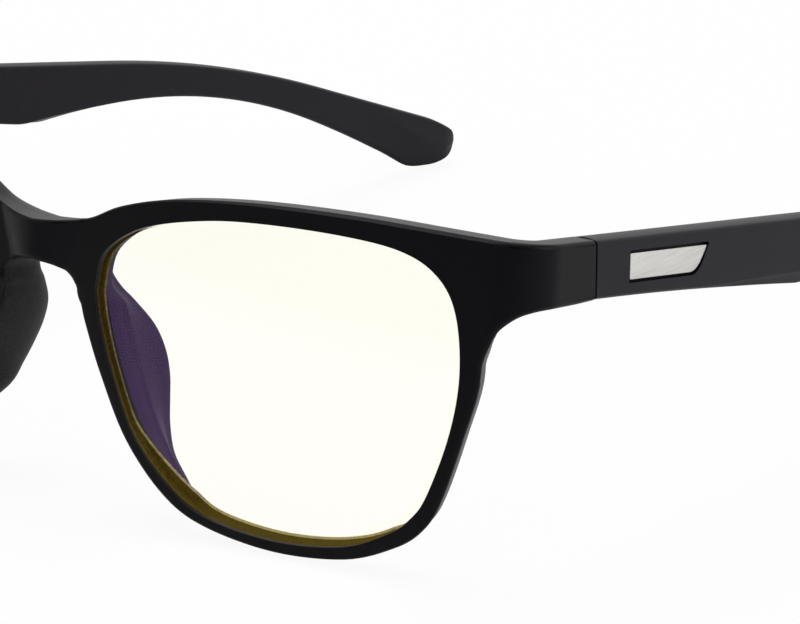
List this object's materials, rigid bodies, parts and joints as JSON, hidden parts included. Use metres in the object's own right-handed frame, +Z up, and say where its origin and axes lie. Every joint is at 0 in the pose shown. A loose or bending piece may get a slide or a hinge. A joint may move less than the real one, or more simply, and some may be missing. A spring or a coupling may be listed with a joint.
{
  "type": "blue light glasses",
  "caption": "Black blue light glasses with clear lenses, moulded nose pads, folding temples on five-knuckle hinges and bare silver inlays.",
  "frame": {"origin": "centre of the rest on a table, below the middle of the glasses", "axes": "+X to the wearer's left, +Y from the front to the temple tips, +Z up"},
  "size_m": [0.1412, 0.1638, 0.0431],
  "materials": {
    "frame_black": "satin",
    "temple_black": "satin",
    "pad_grey": "matte",
    "lens_clear": "polished",
    "hinge_steel": "satin",
    "screw_steel": "bright",
    "core_wire": "drawn",
    "badge_silver": "brushed"
  },
  "bodies": {
    "front": {"frame_front": "frame_black", "lens_left": "lens_clear", "lens_right": "lens_clear", "nose_pad_left": "pad_grey", "nose_pad_right": "pad_grey", "hinge_front_leaf_left": "hinge_steel", "hinge_front_leaf_right": "hinge_steel", "hinge_screw_left": "screw_steel", "hinge_screw_right": "screw_steel", "front_leaf_screws_left": "screw_steel", "front_leaf_screws_right": "screw_steel"},
    "left_temple": {"temple_left": "temple_black", "temple_core_left": "core_wire", "temple_badge_left": "badge_silver", "hinge_temple_leaf_left": "hinge_steel", "temple_leaf_screws_left": "screw_steel"},
    "right_temple": {"temple_right": "temple_black", "temple_core_right": "core_wire", "temple_badge_right": "badge_silver", "hinge_temple_leaf_right": "hinge_steel", "temple_leaf_screws_right": "screw_steel"}
  },
  "joints": [
    {"name": "left_fold", "type": "hinge", "parent": "front", "child": "left_temple", "pos_m": [0.06575, -0.05721, 0.03655], "axis": [0, 0.1634, 0.9866], "range_deg": [0, 90]},
    {"name": "right_fold", "type": "hinge", "parent": "front", "child": "right_temple", "pos_m": [-0.06575, -0.05721, 0.03655], "axis": [0, -0.1634, -0.9866], "range_deg": [0, 85]}
  ]
}
